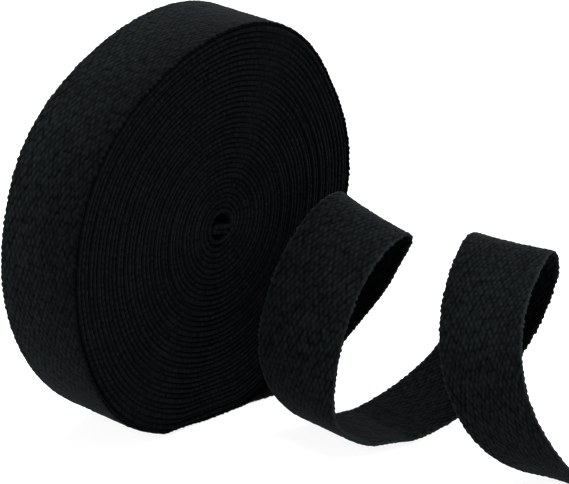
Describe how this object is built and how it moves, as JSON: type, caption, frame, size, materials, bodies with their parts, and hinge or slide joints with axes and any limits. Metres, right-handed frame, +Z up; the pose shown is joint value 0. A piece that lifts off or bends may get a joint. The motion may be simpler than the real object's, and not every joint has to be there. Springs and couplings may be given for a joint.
{
  "type": "roll of webbing",
  "caption": "Wound roll of heavy woven webbing standing on its rim, with its free end run off along the floor in two upright loops.",
  "frame": {"origin": "on the floor, in the flat spot of the roll, straight under its axis and midway across its width", "axes": "+Z up, Y along the roll's axis with the front face towards -Y, and the loose end leaving towards +X"},
  "size_m": [0.2209, 0.2421, 0.1701],
  "materials": {
    "black_webbing": "matte heavy weave with ribs along its length and a beaded selvage"
  },
  "bodies": {
    "root": {"webbing_roll": "black_webbing", "loose_end": "black_webbing"}
  },
  "joints": []
}
